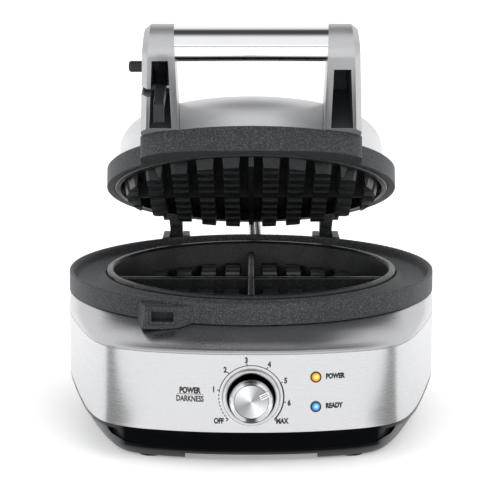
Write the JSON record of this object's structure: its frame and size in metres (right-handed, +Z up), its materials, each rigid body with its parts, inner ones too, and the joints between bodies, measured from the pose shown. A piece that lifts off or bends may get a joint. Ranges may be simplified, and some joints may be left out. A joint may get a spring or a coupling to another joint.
{
  "type": "waffle maker",
  "caption": "Round waffle maker with a hinged lid, tube handle and swing latch, overflow moat, brushed steel body, browning dial and indicator lamps, shown open.",
  "frame": {"origin": "centre of the overall box on the surface the feet stand on, lid open as drawn", "axes": "+Z up, -Y the front with the dial, +X to the right seen from the front"},
  "size_m": [0.266, 0.325, 0.2929],
  "materials": {
    "black_plastic": "satin",
    "foot_rubber": "matt",
    "zinc_steel": "plated",
    "brushed_band": "brushed round the body",
    "brushed_shoulder": "satin",
    "dark_casting": "speckled dark coating",
    "coated_plate": "non-stick coating",
    "element_steel": "dull sheath",
    "reflector_aluminium": "bright",
    "ceramic_fuse": "unglazed",
    "thermostat_plastic": "moulded",
    "board_plastic": "laminate",
    "terminal_plastic": "moulded",
    "bezel_metal": "satin",
    "lamp_rim": "gloss",
    "amber_glass": "clear amber",
    "blue_glass": "clear blue",
    "gland_rubber": "matt",
    "pin_steel": "ground",
    "braided_steel": "woven",
    "brushed_dome": "brushed",
    "silver_casting": "satin paint",
    "chrome_tube": "polished",
    "latch_plastic": "satin",
    "knob_metal": "polished",
    "spun_metal": "spun",
    "pointer_metal": "satin"
  },
  "bodies": {
    "base": {"base_tray": "black_plastic", "rubber_feet": "foot_rubber", "base_screws": "zinc_steel", "outer_band": "brushed_band", "shoulder_cover": "brushed_shoulder", "moat_ring": "dark_casting", "lower_plate": "coated_plate", "lower_element": "element_steel", "lower_reflector": "reflector_aluminium", "lower_plate_screws": "zinc_steel", "thermal_fuse": "ceramic_fuse", "thermostat": "thermostat_plastic", "indicator_board": "board_plastic", "terminal_block": "terminal_plastic", "knob_bezel": "bezel_metal", "lamp_holders": "lamp_rim", "power_lens": "amber_glass", "ready_lens": "blue_glass", "cord_gland": "gland_rubber", "hinge_bracket_left": "dark_casting", "hinge_bracket_right": "dark_casting", "hinge_pins": "pin_steel", "base_lead_grommet": "gland_rubber", "heater_leads": "braided_steel"},
    "lid": {"lid_ring": "dark_casting", "lid_dome": "brushed_dome", "upper_plate": "coated_plate", "upper_element": "element_steel", "upper_reflector": "reflector_aluminium", "upper_plate_screws": "zinc_steel", "lid_hinge_arm_left": "dark_casting", "lid_hinge_arm_right": "dark_casting", "handle_arm_left": "silver_casting", "handle_arm_right": "silver_casting", "handle_tube": "chrome_tube", "handle_tie_rod": "zinc_steel", "handle_screws": "zinc_steel", "latch_pin": "pin_steel", "lid_lead_grommet": "gland_rubber"},
    "latch": {"latch_lever": "latch_plastic", "latch_peg": "latch_plastic"},
    "knob": {"knob": "knob_metal", "knob_disc": "spun_metal", "knob_pointer": "pointer_metal", "knob_shaft": "pin_steel"}
  },
  "joints": [
    {"name": "lid_hinge", "type": "hinge", "parent": "base", "child": "lid", "pos_m": [0, 0.1485, 0.1015], "axis": [-1, 0, 0], "range_deg": [-22.98, 70], "deforming": ["heater_leads"]},
    {"name": "latch_pivot", "type": "hinge", "parent": "lid", "child": "latch", "pos_m": [-0.06075, -0.08592, 0.24925], "axis": [-1, 0, 0], "range_deg": [-58, 0]},
    {"name": "dial_turn", "type": "hinge", "parent": "base", "child": "knob", "pos_m": [0, -0.1485, 0.0482], "axis": [0, 1, 0], "range_deg": [-198.1, 70.8]}
  ]
}
